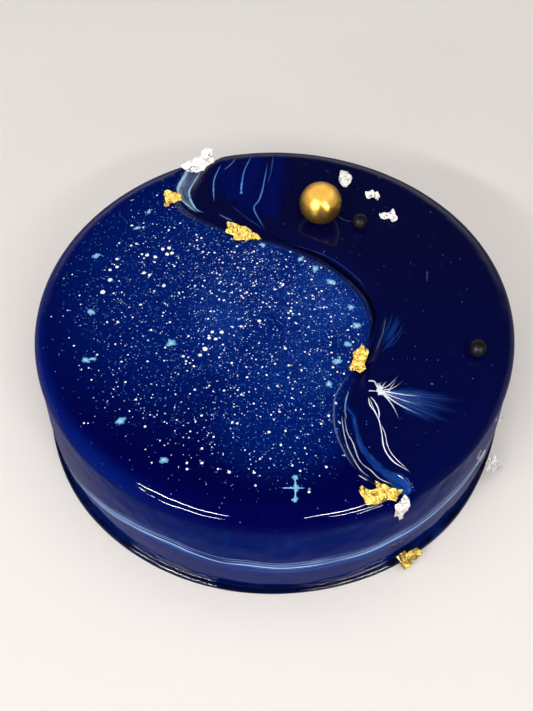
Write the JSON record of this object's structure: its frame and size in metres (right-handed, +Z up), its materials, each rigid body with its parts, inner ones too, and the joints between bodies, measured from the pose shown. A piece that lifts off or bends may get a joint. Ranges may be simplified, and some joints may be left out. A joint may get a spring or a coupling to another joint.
{
  "type": "entremet cake",
  "caption": "Low round mousse cake with a soft shoulder and mirror glaze, an S-shaped channel across its top, with balls, pearls and torn metal leaf.",
  "frame": {"origin": "centre of the flat underside, on the axis of the round cake", "axes": "+Z up along the cake's axis, -Y towards the front where the channel leaves the top, +X towards the night lobe"},
  "size_m": [0.1896, 0.1899, 0.0686],
  "materials": {
    "mirror_glaze": "dark blue mirror glaze with white and light blue specks, very glossy",
    "gold_paint": "satin gold paint on a chocolate ball",
    "black_shell": "satin black sugar shell",
    "gold_leaf": "crumpled edible gold leaf",
    "silver_leaf": "crumpled edible silver leaf"
  },
  "bodies": {
    "root": {"cake": "mirror_glaze", "gold_ball": "gold_paint", "black_pearl_1": "black_shell", "black_pearl_2": "black_shell", "gold_leaf_1": "gold_leaf", "gold_leaf_2": "gold_leaf", "gold_leaf_3": "gold_leaf", "gold_leaf_4": "gold_leaf", "gold_leaf_5": "gold_leaf", "silver_leaf_1": "silver_leaf", "silver_leaf_2": "silver_leaf", "silver_leaf_3": "silver_leaf", "silver_leaf_4": "silver_leaf", "silver_leaf_5": "silver_leaf", "silver_leaf_6": "silver_leaf", "silver_leaf_7": "silver_leaf"}
  },
  "joints": []
}
